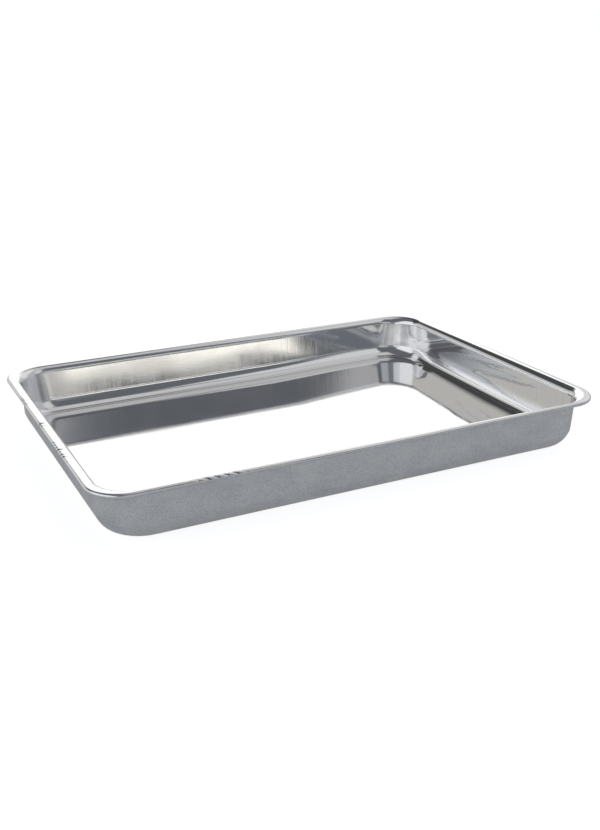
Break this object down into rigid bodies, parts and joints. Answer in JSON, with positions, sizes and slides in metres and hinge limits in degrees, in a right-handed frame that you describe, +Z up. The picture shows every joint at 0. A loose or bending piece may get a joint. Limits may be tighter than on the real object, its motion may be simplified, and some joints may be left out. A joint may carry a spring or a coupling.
{
  "type": "paint roller tray",
  "caption": "Shallow rectangular pressed-steel tray with rounded corners, a flat floor, near-upright walls and a wired, rolled rim.",
  "frame": {"origin": "middle of the tray's flat underside, on the surface it stands on", "axes": "+X along the tray's length, +Y along its width, +Z up out of the open side"},
  "size_m": [0.37, 0.264, 0.0362],
  "materials": {
    "tinned_steel": "bright tinned sheet, mirror-like inside and satin outside",
    "galvanised_wire": "dull zinc-coated wire"
  },
  "bodies": {
    "root": {"tray_pan": "tinned_steel", "rim_wire": "galvanised_wire"}
  },
  "joints": []
}
